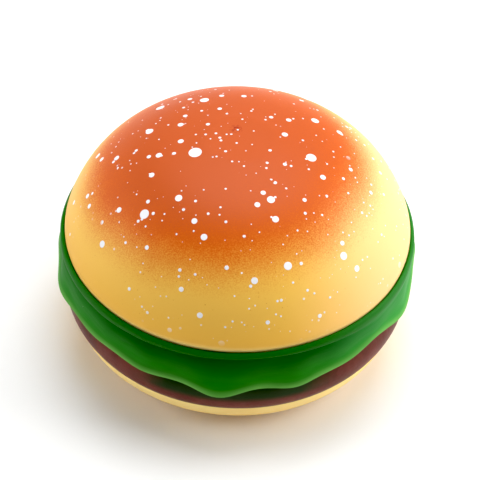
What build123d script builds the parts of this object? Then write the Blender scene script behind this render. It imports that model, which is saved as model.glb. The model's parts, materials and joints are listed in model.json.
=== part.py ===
"""Burger-shaped desk telephone: a clamshell whose lid is the top bun and whose base is the
lettuce, patty and bottom bun.  Millimetres, +Z up, front towards -Y, hinge at the back (+Y).
The origin is on the table, under the middle of the base."""

import math
import os

from build123d import *

os.makedirs("parts", exist_ok=True)

# ---- driving dimensions -----------------------------------------------------------------
BUN_R = 55.0  # widest radius of the top bun
BUN_RISE = 35.6  # height of the top bun above the parting plane
BUN_WIDEST = 1.7  # height of its widest circle above the parting plane
BUN_SIDE_POWER = 0.74  # fullness of the dome's side
BUN_TOP_POWER = 1.34  # flatness of the dome's top
WALL = 2.2  # shell and plate thickness

PARTING_Z = 38.5  # where the lid meets the base
PATTY_TOP_Z = 26.0
PATTY_FOOT_Z = 12.5  # border between patty and bottom bun
UNDERSIDE_Z = 1.5  # underside of the bottom bun; the feet reach down to 0
UNDERSIDE_R = 42.0
BASE_R = 54.0  # bottom bun at its upper edge
PATTY_R = 56.2  # patty at its widest
INNER_R = 50.2  # inside of the patty and of the bottom bun's edge
SEAM_STEP = 1.0  # thickness of the tongue that centres one ring in the next
SEAM_GAP = 0.2
STANDING = (Align.CENTER, Align.CENTER, Align.MIN)

DECK_TOP_Z = 35.0  # key panel
DECK_R = 50.3
DECK_FOOT_Z = DECK_TOP_Z - WALL
PLATE_FOOT_Z = PARTING_Z + 1.0  # underside of the earpiece plate, lid closed
PLATE_TOP_Z = PLATE_FOOT_Z + WALL
PLATE_R = 52.5

PCB_TOP_Z = 28.6
PCB_THICK = 1.6
PCB_FOOT_Z = PCB_TOP_Z - PCB_THICK
PCB_R = 46.0

HINGE_Y = 57.2
HINGE_Z = PARTING_Z
KNUCKLE_R = 3.4
PIN_R = 1.25
LEAD_R = 0.8

KEY_PITCH_X = 19.0
KEY_PITCH_Y = 13.5
KEY_TOP_ROW_Y = 26.0
KEY_AXES = (6.7, 4.6)  # half width and half depth of a digit key
SMALL_KEY_AXES = (5.6, 3.3)  # the same, for the three keys of the last row
KEY_PLAY = 0.25
KEY_STAND = 2.0  # key top above the panel
KEY_ROWS = (
    ("1", "2", "3"),
    ("4", "5", "6"),
    ("7", "8", "9"),
    ("star", "0", "hash"),
    ("flash", "redial", "mute"),
)

CASE_SCREWS = [(x, y) for x in (-36, 36) for y in (-20, 20)]
LID_SCREWS = [(x, y) for x in (-29.7, 29.7) for y in (-29.7, 29.7)]
SCREW_R = (2.6, 1.3)  # head and shank radius of the case and lid screws
PCB_SCREWS = [(x, y) for x in (-30, 30) for y in (-31, 31)]
CLAMP_SCREWS = [(-24.5, 0), (24.5, 0)]
SMALL_SCREW_R = (1.8, 0.95)  # head and shank radius of the board and clamp screws
HEAD_BORE_R = SCREW_R[0] + 0.3
SHANK_BORE_R = SCREW_R[1] + 0.2
FEET = {"left": -22.0, "right": 22.0}
FOOT_Y = 30.0
FOOT_R = 5.0
FOOT_SINK = 0.6  # depth of the recess that each foot is glued into
HOOK_XY = (36.0, 0.0)
HOOK_TRAVEL = 2.0
MIC_XY = (0.0, -40.2)
SWITCH_TURN = 33.0  # each slide switch sits this far round from the back, in degrees
SWITCH_Z = 19.0
SWITCH_TRAVEL = 2.5

# Each leaf fold: where its middle is round the ring (0 is the front, + towards +X, in
# degrees) and how far it stands out past the lip's plain radius.
LIP_R = 57.0
FOLD_R = 12.0
LEAF_FOLDS = (
    (-4, 3.72),
    (19, 1.6),
    (-28, 1.0),
    (-48, 0.5),
    (-78, 2.55),
    (48, 0.4),
    (68, 0.9),
    (93, 1.57),
    (125, 1.6),
    (153, 1.2),
    (-108, 1.4),
    (-136, 1.7),
    (-161, 1.2),
)


def save(part, name):
    """Labels one finished piece and writes its STEP file."""
    part.label = name
    export_step(part, f"parts/{name}.step")


def bun_curve(radius, rise, widest):
    """Points up the dome's side, from its widest circle to the middle of its top."""
    points = []
    for degrees_up in (0, 14, 28, 42, 56, 70, 82, 90):
        t = math.radians(degrees_up)
        across = radius * max(math.cos(t), 0.0) ** BUN_SIDE_POWER if degrees_up < 90 else 0.0
        points.append((across, widest + (rise - widest) * math.sin(t) ** BUN_TOP_POWER))
    return points


def bun_solid(radius, rise, widest, rim_radius):
    """Solid dome standing on the parting plane."""
    curve = [(r, PARTING_Z + z) for r, z in bun_curve(radius, rise, widest)]
    with BuildPart() as dome:
        with BuildSketch(Plane.XZ):
            with BuildLine():
                rim = (rim_radius, PARTING_Z)
                Line(rim, curve[0])
                Spline(*curve, tangents=((0, 1), (-1, 0)))
                Polyline(curve[-1], (0, PARTING_Z), rim)
            make_face()
        revolve(axis=Axis.Z)
    return dome.part


def ring(inner, outer, foot, top):
    """Flat washer, or a plain disc where inner is 0."""
    with BuildPart() as made:
        with BuildSketch(Plane.XY.offset(foot)):
            Circle(outer)
            if inner:
                Circle(inner, mode=Mode.SUBTRACT)
        extrude(amount=top - foot)
    return made.part


def panhead_screw(radii, head_height, length, places, head_z, upwards=True):
    """Group of cross-head screws. Shanks run up from the heads, or down from them."""
    head_radius, shank_radius = radii
    way = 1 if upwards else -1
    with BuildPart() as screws:
        for x, y in places:
            with BuildSketch(Plane.XY.offset(head_z).move(Location((x, y, 0)))):
                Circle(head_radius)
            extrude(amount=-way * head_height)
            with BuildSketch(Plane.XY.offset(head_z).move(Location((x, y, 0)))):
                Circle(shank_radius)
            extrude(amount=way * length)
            with BuildSketch(Plane.XY.offset(head_z - way * head_height).move(Location((x, y, 0)))):
                Rectangle(1.2 * head_radius, 0.25 * head_radius)
                Rectangle(0.25 * head_radius, 1.2 * head_radius)
            extrude(amount=way * 0.5 * head_height, mode=Mode.SUBTRACT)
    return screws.part


def key_place(row, column):
    return ((column - 1) * KEY_PITCH_X, KEY_TOP_ROW_Y - row * KEY_PITCH_Y)


def key_axes(row):
    return SMALL_KEY_AXES if row == len(KEY_ROWS) - 1 else KEY_AXES


KEYS = [
    (name, key_place(row, column), key_axes(row))
    for row, names in enumerate(KEY_ROWS)
    for column, name in enumerate(names)
]


# ---- base shells ------------------------------------------------------------------------
SCREW_SEAT_Z = 6.5  # shoulder that the case screws' heads pull against
BOSS_MEET_Z = 17.0  # where the panel's bosses stand on the bottom bun's
BOSS_R = 3.5
RINGER_WALL_R = 15.5
RINGER_SEAT_Z = 8.0
SOUND_SLOT_PITCH = 4.2
SOUND_SLOT_WIDTH = 1.6
FLOOR_Z = UNDERSIDE_Z + WALL


def bottom_bun():
    edge_drop = PATTY_FOOT_Z - UNDERSIDE_Z
    edge_run = BASE_R - UNDERSIDE_R
    with BuildPart() as bun:
        with BuildSketch(Plane.XZ):
            with BuildLine():
                Line((0, UNDERSIDE_Z), (UNDERSIDE_R, UNDERSIDE_Z))
                EllipticalCenterArc(
                    (UNDERSIDE_R, PATTY_FOOT_Z), edge_run, edge_drop, start_angle=270, arc_size=90
                )
                Polyline(
                    (BASE_R, PATTY_FOOT_Z),
                    (INNER_R + SEAM_STEP, PATTY_FOOT_Z),
                    (INNER_R + SEAM_STEP, PATTY_FOOT_Z + 2),
                    (INNER_R, PATTY_FOOT_Z + 2),
                    (INNER_R, PATTY_FOOT_Z - 1),
                    (UNDERSIDE_R + 1, FLOOR_Z),
                    (0, FLOOR_Z),
                    (0, UNDERSIDE_Z),
                )
            make_face()
        revolve(axis=Axis.Z)
        for x, y in CASE_SCREWS:
            with BuildSketch(Plane.XY.offset(UNDERSIDE_Z + 1).move(Location((x, y, 0)))):
                Circle(BOSS_R)
            extrude(amount=BOSS_MEET_Z - UNDERSIDE_Z - 1)
        with BuildSketch(Plane.XY.offset(FLOOR_Z - 0.5)):
            Circle(RINGER_WALL_R)
            Circle(RINGER_WALL_R - 1.5, mode=Mode.SUBTRACT)
        extrude(amount=RINGER_SEAT_Z - FLOOR_Z + 0.5)
        with BuildSketch(Plane.XY.offset(UNDERSIDE_Z)):
            with Locations(*CASE_SCREWS):
                Circle(HEAD_BORE_R)
        extrude(amount=SCREW_SEAT_Z - UNDERSIDE_Z, mode=Mode.SUBTRACT)
        with BuildSketch(Plane.XY.offset(UNDERSIDE_Z)):
            with Locations(*CASE_SCREWS):
                Circle(SHANK_BORE_R)
        extrude(amount=BOSS_MEET_Z, mode=Mode.SUBTRACT)
        with BuildSketch(Plane.XY.offset(UNDERSIDE_Z)):
            with Locations(*[(x, y) for x in FEET.values() for y in (-FOOT_Y, FOOT_Y)]):
                Circle(FOOT_R + 0.2)
        extrude(amount=FOOT_SINK, mode=Mode.SUBTRACT)
        with BuildSketch(Plane.XY.offset(UNDERSIDE_Z)):
            for step in range(-2, 3):
                with Locations((0, SOUND_SLOT_PITCH * step)):
                    SlotOverall(20 - 2.5 * abs(step), SOUND_SLOT_WIDTH)
        extrude(amount=WALL, mode=Mode.SUBTRACT)
    return bun.part


JACK_HALF_WIDTH = 6.3
JACK_FOOT_Z = 14.7
JACK_TOP_Z = 25.4
JACK_FACE_Y = 54.2
PAD_INNER_Y = 48.6  # flat pads on the patty's inside that the slide switches sit on
SLOT_HALF = (SWITCH_TRAVEL + 3.0) / 2 + 0.3
PATTY_SHOULDER_R = 54.3  # the patty above this shoulder is covered by the lettuce
PATTY_SHOULDER_Z = 23.6


def patty_ring():
    with BuildPart() as patty:
        with BuildSketch(Plane.XZ):
            with BuildLine():
                Spline(
                    (BASE_R + 0.2, PATTY_FOOT_Z),
                    (PATTY_R - 0.5, PATTY_FOOT_Z + 3),
                    (PATTY_R, SWITCH_Z),
                    (PATTY_R - 0.7, SWITCH_Z + 3),
                    (PATTY_SHOULDER_R, PATTY_SHOULDER_Z),
                )
                Polyline(
                    (PATTY_SHOULDER_R, PATTY_SHOULDER_Z),
                    (PATTY_SHOULDER_R, PATTY_TOP_Z),
                    (INNER_R + SEAM_STEP, PATTY_TOP_Z),
                    (INNER_R + SEAM_STEP, PATTY_TOP_Z + 2),
                    (INNER_R, PATTY_TOP_Z + 2),
                    (INNER_R, PATTY_FOOT_Z + 2 + SEAM_GAP),
                    (INNER_R + SEAM_STEP + SEAM_GAP, PATTY_FOOT_Z + 2 + SEAM_GAP),
                    (INNER_R + SEAM_STEP + SEAM_GAP, PATTY_FOOT_Z),
                    (BASE_R + 0.2, PATTY_FOOT_Z),
                )
            make_face()
        revolve(axis=Axis.Z)
        for turn in (-SWITCH_TURN, SWITCH_TURN):
            with Locations(Rotation(0, 0, turn)):
                with Locations((0, (PAD_INNER_Y + 53) / 2, SWITCH_Z)):
                    Box(18, 53 - PAD_INNER_Y, 8.6)
                with Locations((0, 52, SWITCH_Z)):
                    Box(2 * SLOT_HALF, 20, 3.8, mode=Mode.SUBTRACT)
        with Locations((0, 54, (JACK_FOOT_Z + PATTY_TOP_Z + 2) / 2)):
            Box(
                2 * JACK_HALF_WIDTH + 0.6,
                20,
                PATTY_TOP_Z + 2 - JACK_FOOT_Z + 0.4,
                mode=Mode.SUBTRACT,
            )
    return patty.part


LAND_Z = PARTING_Z - 0.3  # the lid's rim stops just above this land
LIP_TOP_Z = PARTING_Z + 0.8
CREASE_Z = 35.2
LEAF_EDGE_Z = 26.4
LEAF_FOOT_Z = 24.2
FOLD_TOP_Z = 33.8
NOTCH_HALF = 17.6
NOTCH_Z = 32.4


def lettuce_ring():
    with BuildPart() as skirt:
        with BuildSketch(Plane.XZ):
            with BuildLine():
                Polyline(
                    (0, CREASE_Z),
                    (55.2, CREASE_Z),
                    (55.9, 31.0),
                    (LIP_R, LEAF_EDGE_Z + 0.8),
                    (LIP_R, LEAF_EDGE_Z - 0.8),
                    (56.0, LEAF_FOOT_Z),
                    (0, LEAF_FOOT_Z),
                    (0, CREASE_Z),
                )
            make_face()
        revolve(axis=Axis.Z)
        for degrees_round, size in LEAF_FOLDS:
            turn = math.radians(degrees_round)
            out = LIP_R + size - FOLD_R
            x, y = out * math.sin(turn), -out * math.cos(turn)
            top_r = 55.6 - out
            with Locations((x, y, LEAF_EDGE_Z)):
                Cone(FOLD_R, top_r, FOLD_TOP_Z - LEAF_EDGE_Z, align=STANDING)
            with Locations((x, y, LEAF_FOOT_Z)):
                Cone(FOLD_R - 1.2, FOLD_R, LEAF_EDGE_Z - LEAF_FOOT_Z, align=STANDING)
    with BuildPart() as lettuce:
        add(skirt.part)
        with BuildSketch(Plane.XY.offset(LEAF_FOOT_Z - 1)):
            Circle(PATTY_SHOULDER_R + 0.4)
        extrude(amount=CREASE_Z, mode=Mode.SUBTRACT)
        with BuildSketch(Plane.XZ):
            with BuildLine():
                Polyline(
                    (55.3, LEAF_FOOT_Z),
                    (PATTY_SHOULDER_R + 0.4, LEAF_FOOT_Z),
                    (PATTY_SHOULDER_R + 0.4, PATTY_TOP_Z),
                    (INNER_R + SEAM_STEP + SEAM_GAP, PATTY_TOP_Z),
                    (INNER_R + SEAM_STEP + SEAM_GAP, DECK_FOOT_Z - 2),
                    (DECK_R - 3, DECK_FOOT_Z - 2),
                    (DECK_R - 3, DECK_FOOT_Z),
                    (DECK_R + 0.3, DECK_FOOT_Z),
                    (DECK_R + 0.3, LAND_Z),
                    (BUN_R + 0.5, LAND_Z),
                    (BUN_R + 0.5, LIP_TOP_Z),
                    (BUN_R + 1.3, LIP_TOP_Z),
                    (BUN_R + 1.3, CREASE_Z + 1.6),
                    (55.3, CREASE_Z),
                    (55.3, LEAF_FOOT_Z),
                )
            make_face()
        revolve(axis=Axis.Z)
        with Locations((0, HINGE_Y, LAND_Z + 5)):
            Box(80, 60, 10, mode=Mode.SUBTRACT)
        with Locations((0, HINGE_Y, NOTCH_Z + 5)):
            Box(2 * NOTCH_HALF, 24, 10, mode=Mode.SUBTRACT)
        with Locations((LEAD_TURN_X, HINGE_Y - 5, DECK_FOOT_Z)):
            Box(2.6, 20, 5.2, mode=Mode.SUBTRACT)
    return lettuce.part


# ---- hinge ------------------------------------------------------------------------------
BASE_KNUCKLE = (11.0, 17.0)  # from and to, on each side
LID_KNUCKLE = (4.0, 10.7)
TRUNNION_R = 2.0
TRUNNION_END_X = 13.0
LEAD_TURN_X = 14.6
LUG_REACH = 5.6
LUG_ANGLE = 65.0  # the lug swings from here down against the stop, which ends the opening
STOP_Y = 57.3


def along_x(radius, start, end):
    """Rod on the hinge axis."""
    plane = Plane(origin=(start, HINGE_Y, HINGE_Z), x_dir=(0, 1, 0), z_dir=(1, 0, 0))
    with BuildPart() as rod:
        with BuildSketch(plane):
            Circle(radius)
        extrude(amount=end - start)
    return rod.part


def box_between(low, high):
    """Box between two corners; being private, it joins a part only where it is added."""
    size = [b - a for a, b in zip(low, high)]
    middle = [(a + b) / 2 for a, b in zip(low, high)]
    return Pos(*middle) * Box(*size, mode=Mode.PRIVATE)


def keypad_deck():
    near, far = BASE_KNUCKLE
    knuckles = {-1: along_x(KNUCKLE_R, -far, -near), 1: along_x(KNUCKLE_R, near, far)}
    bores = (
        along_x(PIN_R, -far, -near + 1),
        along_x(TRUNNION_R + 0.06, near - 1, TRUNNION_END_X + 0.6),
        along_x(LEAD_R + 0.5, near, LEAD_TURN_X + 1.2),
    )
    with BuildPart() as deck:
        with BuildSketch(Plane.XY.offset(DECK_FOOT_Z)):
            Circle(DECK_R)
        extrude(amount=WALL)
        fillet(deck.edges().group_by(Axis.Z)[-1], 0.5)
        for side in (-1, 1):
            low_x, high_x = sorted((side * near, side * far))
            add(box_between((low_x, 44, DECK_FOOT_Z), (high_x, HINGE_Y + 2, HINGE_Z - 1.5)))
            add(knuckles[side])
        add(box_between((-9.5, 46, DECK_FOOT_Z), (9.5, STOP_Y, DECK_TOP_Z - 0.4)))
        for x, y in CASE_SCREWS:
            with BuildSketch(Plane.XY.offset(BOSS_MEET_Z).move(Location((x, y, 0)))):
                Circle(BOSS_R)
            extrude(amount=DECK_FOOT_Z - BOSS_MEET_Z + 0.5)
        for x, y in PCB_SCREWS:
            with BuildSketch(Plane.XY.offset(PCB_TOP_Z).move(Location((x, y, 0)))):
                Circle(2.6)
            extrude(amount=DECK_FOOT_Z - PCB_TOP_Z + 0.5)
        with BuildSketch(Plane.XY.offset(BOSS_MEET_Z)):
            with Locations(*CASE_SCREWS):
                Circle(1.3)
        extrude(amount=14, mode=Mode.SUBTRACT)
        with BuildSketch(Plane.XY.offset(PCB_TOP_Z)):
            with Locations(*PCB_SCREWS):
                Circle(0.95)
        extrude(amount=4.6, mode=Mode.SUBTRACT)
        with BuildSketch(Plane.XY.offset(DECK_FOOT_Z)):
            for _, place, (half_x, half_y) in KEYS:
                with Locations(place):
                    Ellipse(half_x + KEY_PLAY, half_y + KEY_PLAY)
            with Locations(HOOK_XY):
                Circle(2.45)
            with Locations(MIC_XY):
                Circle(0.7)
                with PolarLocations(2.4, 6):
                    Circle(0.7)
        extrude(amount=WALL, mode=Mode.SUBTRACT)
        for bore in bores:
            add(bore, mode=Mode.SUBTRACT)
        with BuildSketch(Plane.XY.offset(DECK_FOOT_Z - 1).move(Location((LEAD_TURN_X, HINGE_Y, 0)))):
            Circle(LEAD_R + 0.4)
        extrude(amount=HINGE_Z - DECK_FOOT_Z + 1, mode=Mode.SUBTRACT)
    return deck.part


# ---- lid --------------------------------------------------------------------------------
RECEIVER_R = 18.0
SOUND_HOLE_R = 0.9
RECEIVER_FOOT_Z = PLATE_TOP_Z + 0.8
RECEIVER_TOP_Z = RECEIVER_FOOT_Z + 7.5
HOOK_TOP_Z = DECK_TOP_Z + 1.5  # plunger held down by the closed lid


def top_bun():
    outer = bun_solid(BUN_R, BUN_RISE, BUN_WIDEST, BUN_R - 0.3)
    inner = bun_solid(BUN_R - WALL, BUN_RISE - WALL, BUN_WIDEST, BUN_R - WALL)
    with BuildPart() as bosses:
        with BuildSketch(Plane.XY.offset(PLATE_TOP_Z)):
            with Locations(*LID_SCREWS):
                Circle(3.4)
        extrude(amount=BUN_RISE)
        add(outer, mode=Mode.INTERSECT)
    with BuildPart() as bun:
        add(outer)
        add(inner, mode=Mode.SUBTRACT)
        add(bosses.part)
        with BuildSketch(Plane.XY.offset(PLATE_TOP_Z)):
            with Locations(*LID_SCREWS):
                Circle(1.3)
        extrude(amount=12, mode=Mode.SUBTRACT)
        add(
            box_between((-NOTCH_HALF, 50, PARTING_Z - 1), (NOTCH_HALF, 60, PLATE_TOP_Z + 0.4)),
            mode=Mode.SUBTRACT,
        )
    return bun.part


def earpiece_plate():
    near, far = LID_KNUCKLE
    lug = Plane(
        origin=(0, HINGE_Y, HINGE_Z),
        x_dir=(0, math.cos(math.radians(LUG_ANGLE)), math.sin(math.radians(LUG_ANGLE))),
        z_dir=(1, 0, 0),
    )
    knuckles = {-1: along_x(KNUCKLE_R, -far, -near), 1: along_x(KNUCKLE_R, near, far)}
    trunnion = along_x(TRUNNION_R, far - 1, TRUNNION_END_X)
    bores = (
        along_x(LEAD_R + 0.25, near - 1, TRUNNION_END_X + 1),
        along_x(PIN_R + 0.05, -far - 1, -near - 1),
    )
    with BuildPart() as plate:
        with BuildSketch(Plane.XY.offset(PLATE_FOOT_Z)):
            Circle(PLATE_R)
        extrude(amount=WALL)
        fillet(plate.edges().group_by(Axis.Z)[0], 0.5)
        with BuildSketch(Plane.XY.offset(PLATE_FOOT_Z - 1.4)):
            Circle(22.5)
            Circle(19.5, mode=Mode.SUBTRACT)
        extrude(amount=1.9)
        fillet(plate.edges().group_by(Axis.Z)[0], 0.9)
        with BuildSketch(Plane.XY.offset(PLATE_TOP_Z - 0.5)):
            Circle(RECEIVER_R + 2)
            Circle(RECEIVER_R + 0.3, mode=Mode.SUBTRACT)
        extrude(amount=4.5)
        with BuildSketch(Plane.XY.offset(PLATE_TOP_Z - 0.5)):
            with Locations(*CLAMP_SCREWS):
                Circle(2.8)
        extrude(amount=RECEIVER_TOP_Z - PLATE_TOP_Z + 0.5)
        with BuildSketch(Plane.XY.offset(HOOK_TOP_Z + 0.1)):
            with Locations(HOOK_XY):
                Circle(2.2)
        extrude(amount=PLATE_FOOT_Z - HOOK_TOP_Z + 0.5)
        for side in (-1, 1):
            low_x, high_x = sorted((side * near, side * far))
            add(box_between((low_x, 48, PLATE_FOOT_Z), (high_x, HINGE_Y, PLATE_TOP_Z)))
            add(knuckles[side])
            with BuildSketch(lug.offset(low_x + 2)):
                with Locations((LUG_REACH / 2, 0)):
                    Rectangle(LUG_REACH, 2.2)
            extrude(amount=2.7)
        add(trunnion)
        for bore in bores:
            add(bore, mode=Mode.SUBTRACT)
        add(box_between((-1.5, 48.5, PLATE_FOOT_Z - 1), (1.5, 54, PLATE_TOP_Z + 1)), mode=Mode.SUBTRACT)
        with BuildSketch(Plane.XY.offset(RECEIVER_TOP_Z - 7)):
            with Locations(*CLAMP_SCREWS):
                Circle(0.95)
        extrude(amount=8, mode=Mode.SUBTRACT)
        with BuildSketch(Plane.XY.offset(PLATE_FOOT_Z)):
            with Locations(*LID_SCREWS):
                Circle(SHANK_BORE_R)
            Circle(SOUND_HOLE_R)
            for turn_of_holes in (1, 2, 3):
                with PolarLocations(5 * turn_of_holes, 6 * turn_of_holes):
                    Circle(SOUND_HOLE_R)
        extrude(amount=WALL, mode=Mode.SUBTRACT)
        with BuildSketch(Plane.XY.offset(PLATE_FOOT_Z)):
            with Locations(*LID_SCREWS):
                Circle(HEAD_BORE_R)
        extrude(amount=1.4, mode=Mode.SUBTRACT)
    return plate.part


def receiver_frame():
    with BuildPart() as frame:
        with BuildSketch(Plane.XZ):
            with BuildLine():
                Polyline(
                    (15.2, RECEIVER_FOOT_Z),
                    (RECEIVER_R, RECEIVER_FOOT_Z),
                    (RECEIVER_R, RECEIVER_FOOT_Z + 2),
                    (16.4, RECEIVER_FOOT_Z + 3),
                    (15.4, RECEIVER_TOP_Z),
                    (8.0, RECEIVER_TOP_Z),
                    (8.0, RECEIVER_TOP_Z - 1),
                    (14.4, RECEIVER_TOP_Z - 1),
                    (15.2, RECEIVER_FOOT_Z + 3.4),
                    (15.2, RECEIVER_FOOT_Z),
                )
            make_face()
        revolve(axis=Axis.Z)
        with BuildSketch(Plane.XY.offset(RECEIVER_TOP_Z - 2)):
            with PolarLocations(11.6, 8, start_angle=22.5):
                Circle(1.3)
        extrude(amount=3, mode=Mode.SUBTRACT)
    return frame.part


def receiver_diaphragm():
    foot = RECEIVER_FOOT_Z + 0.6
    with BuildPart() as cone:
        with BuildSketch(Plane.XZ):
            with BuildLine():
                Polyline(
                    (0, foot + 2.2),
                    (3.4, foot + 1.4),
                    (3.4, foot + 3.4),
                    (3.9, foot + 3.4),
                    (3.9, foot + 1.5),
                    (12.0, foot + 0.6),
                    (15.1, foot + 0.4),
                    (15.1, foot),
                    (12.0, foot + 0.1),
                    (3.6, foot + 0.9),
                    (0, foot + 1.8),
                    (0, foot + 2.2),
                )
            make_face()
        revolve(axis=Axis.Z)
    return cone.part


def receiver_magnet():
    with BuildPart() as magnet:
        with BuildSketch(Plane.XZ):
            with BuildLine():
                Polyline(
                    (0, RECEIVER_TOP_Z - 3.6),
                    (3.0, RECEIVER_TOP_Z - 3.6),
                    (3.0, RECEIVER_TOP_Z - 0.2),
                    (4.4, RECEIVER_TOP_Z - 0.2),
                    (4.4, RECEIVER_TOP_Z - 3.6),
                    (7.9, RECEIVER_TOP_Z - 3.6),
                    (7.9, RECEIVER_TOP_Z + 2.4),
                    (0, RECEIVER_TOP_Z + 2.4),
                    (0, RECEIVER_TOP_Z - 3.6),
                )
            make_face()
        revolve(axis=Axis.Z)
        chamfer(magnet.edges().group_by(Axis.Z)[-1], 0.6)
    return magnet.part


def receiver_clamp():
    with BuildPart() as clamp:
        with BuildSketch(Plane.XY.offset(RECEIVER_TOP_Z)):
            SlotOverall(56, 8)
            Circle(11.5)
            Circle(8.4, mode=Mode.SUBTRACT)
            with Locations(*CLAMP_SCREWS):
                Circle(1.2, mode=Mode.SUBTRACT)
        extrude(amount=1.2)
    return clamp.part


def wire(points, radii):
    """Round lead along straight runs joined by arcs."""
    with BuildPart() as lead:
        with BuildLine() as path:
            FilletPolyline(*points, radius=radii)
        start = path.wires()[0]
        with BuildSketch(Plane(origin=start @ 0, z_dir=start % 0)):
            Circle(LEAD_R)
        sweep(path=path.wires()[0])
    return lead.part


# ---- base innards -----------------------------------------------------------------------
def key(place, half_axes):
    """Oval key cap with the flange that holds it under the panel."""
    half_x, half_y = half_axes
    flange_z = DECK_FOOT_Z - 0.2
    with BuildPart() as cap:
        with BuildSketch(Plane.XY.offset(flange_z - 1.0).move(Location((*place, 0)))):
            Ellipse(half_x + 1.1, half_y + 1.1)
        extrude(amount=1.0)
        with BuildSketch(Plane.XY.offset(flange_z).move(Location((*place, 0)))):
            Ellipse(half_x, half_y)
        extrude(amount=DECK_TOP_Z + KEY_STAND - flange_z)
        fillet(cap.edges().group_by(Axis.Z)[-1], 0.7)
    return cap.part


def dome_mat():
    with BuildPart() as mat:
        with BuildSketch(Plane.XY.offset(PCB_TOP_Z)):
            with Locations((0, KEY_TOP_ROW_Y - 2 * KEY_PITCH_Y)):
                RectangleRounded(54.4, 65, 4)
        extrude(amount=1.0)
        for _, (x, y), _axes in KEYS:
            with Locations((x, y, PCB_TOP_Z + 1.0)):
                Cone(4.2, 2.6, 1.9, align=STANDING)
    return mat.part


def main_pcb():
    with BuildPart() as board:
        with BuildSketch(Plane.XY.offset(PCB_FOOT_Z)):
            Circle(PCB_R)
            with Locations(*CASE_SCREWS):
                Circle(BOSS_R + 0.4, mode=Mode.SUBTRACT)
            with Locations(*PCB_SCREWS):
                Circle(1.2, mode=Mode.SUBTRACT)
            with Locations(MIC_XY):
                Circle(6.8, mode=Mode.SUBTRACT)
            with Locations(HOOK_XY):
                Circle(3.3, mode=Mode.SUBTRACT)
        extrude(amount=PCB_THICK)
    return board.part


def chip(width, depth, pins_a_side, middle):
    """Black dual-in-line package hanging under the board, with its bent pins."""
    x, y = middle
    body_top = PCB_FOOT_Z - 0.4
    with BuildPart() as package:
        with Locations((x, y, body_top)):
            Box(width, depth, 3.3, align=(Align.CENTER, Align.CENTER, Align.MAX))
        chamfer(package.edges().filter_by(Axis.X), 0.4)
        for side in (-1, 1):
            for step in range(pins_a_side):
                pin_x = x + 2.54 * (step - (pins_a_side - 1) / 2)
                with Locations((pin_x, y + side * (depth / 2 + 0.2), PCB_FOOT_Z)):
                    Box(0.5, 0.6, 2.2, align=(Align.CENTER, Align.CENTER, Align.MAX))
    return package.part


def capacitors():
    cans = ((-14, -24, 4.0, 10.5), (-3, -27, 3.2, 8.0), (20, -26, 3.2, 8.0), (30, 10, 2.6, 7.0))
    with BuildPart() as group:
        for x, y, radius, height in cans:
            with BuildSketch(Plane.XY.offset(PCB_FOOT_Z).move(Location((x, y, 0)))):
                Circle(radius)
            extrude(amount=-height)
        fillet(group.edges().filter_by(GeomType.CIRCLE), 0.4)
    return group.part


def axial_parts(radius, length, places):
    """Row of small round-bodied parts lying under the board, each on its two legs."""
    drop = radius + 0.3
    with BuildPart() as group:
        for x, y in places:
            plane = Plane(
                origin=(x - length / 2, y, PCB_FOOT_Z - drop), x_dir=(0, 1, 0), z_dir=(1, 0, 0)
            )
            with BuildSketch(plane):
                Circle(radius)
            extrude(amount=length)
            for side in (-1, 1):
                with Locations((x + side * (length / 2 + 0.2), y, PCB_FOOT_Z)):
                    Box(0.6, 0.5, drop + 0.2, align=(Align.CENTER, Align.CENTER, Align.MAX))
    return group.part


HOOK_WELL_Z = 22.0
HOOK_FLANGE_Z = DECK_FOOT_Z - 0.2 - HOOK_TRAVEL - 0.8


def hook_switch_body():
    x, y = HOOK_XY
    with BuildPart() as body:
        with BuildSketch(Plane.XY.offset(20.4).move(Location((x, y, 0)))):
            RectangleRounded(9.6, 11, 1.2)
        extrude(amount=PCB_FOOT_Z - 20.4)
        with BuildSketch(Plane.XY.offset(HOOK_WELL_Z).move(Location((x, y, 0)))):
            Circle(2.9)
        extrude(amount=8, mode=Mode.SUBTRACT)
        for side in (-1, 1):
            with Locations((x, y + 3.5 * side, 20.4)):
                Box(1.2, 0.5, 3, align=(Align.CENTER, Align.CENTER, Align.MAX))
    return body.part


def hook_plunger():
    x, y = HOOK_XY
    with BuildPart() as plunger:
        with BuildSketch(Plane.XY.offset(HOOK_FLANGE_Z).move(Location((x, y, 0)))):
            Circle(3.1)
        extrude(amount=0.8)
        with BuildSketch(Plane.XY.offset(HOOK_FLANGE_Z).move(Location((x, y, 0)))):
            Circle(2.2)
        extrude(amount=HOOK_TOP_Z - HOOK_FLANGE_Z)
        fillet(plunger.edges().group_by(Axis.Z)[-1], 0.5)
        with BuildSketch(Plane.XY.offset(HOOK_FLANGE_Z).move(Location((x, y, 0)))):
            Circle(1.2)
        extrude(amount=-5)
    return plunger.part


def hook_spring():
    x, y = HOOK_XY
    wire_r = 0.25
    foot = HOOK_WELL_Z + wire_r + 0.02
    height = HOOK_FLANGE_Z - HOOK_WELL_Z - 2 * wire_r - 0.06
    with BuildPart() as spring:
        with BuildLine() as path:
            Helix(pitch=height / 6, height=height, radius=2.0, center=(x, y, foot))
        with BuildSketch(Plane(origin=path.line @ 0, z_dir=path.line % 0)):
            Circle(wire_r)
        sweep()
    return spring.part


def mic_boot():
    with BuildPart() as boot:
        with BuildSketch(Plane.XY.offset(24.6).move(Location((*MIC_XY, 0)))):
            Circle(6.2)
        extrude(amount=DECK_FOOT_Z - 24.6)
        with BuildSketch(Plane.XY.offset(26.0).move(Location((*MIC_XY, 0)))):
            Circle(4.9)
        extrude(amount=10, mode=Mode.SUBTRACT)
    return boot.part


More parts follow.
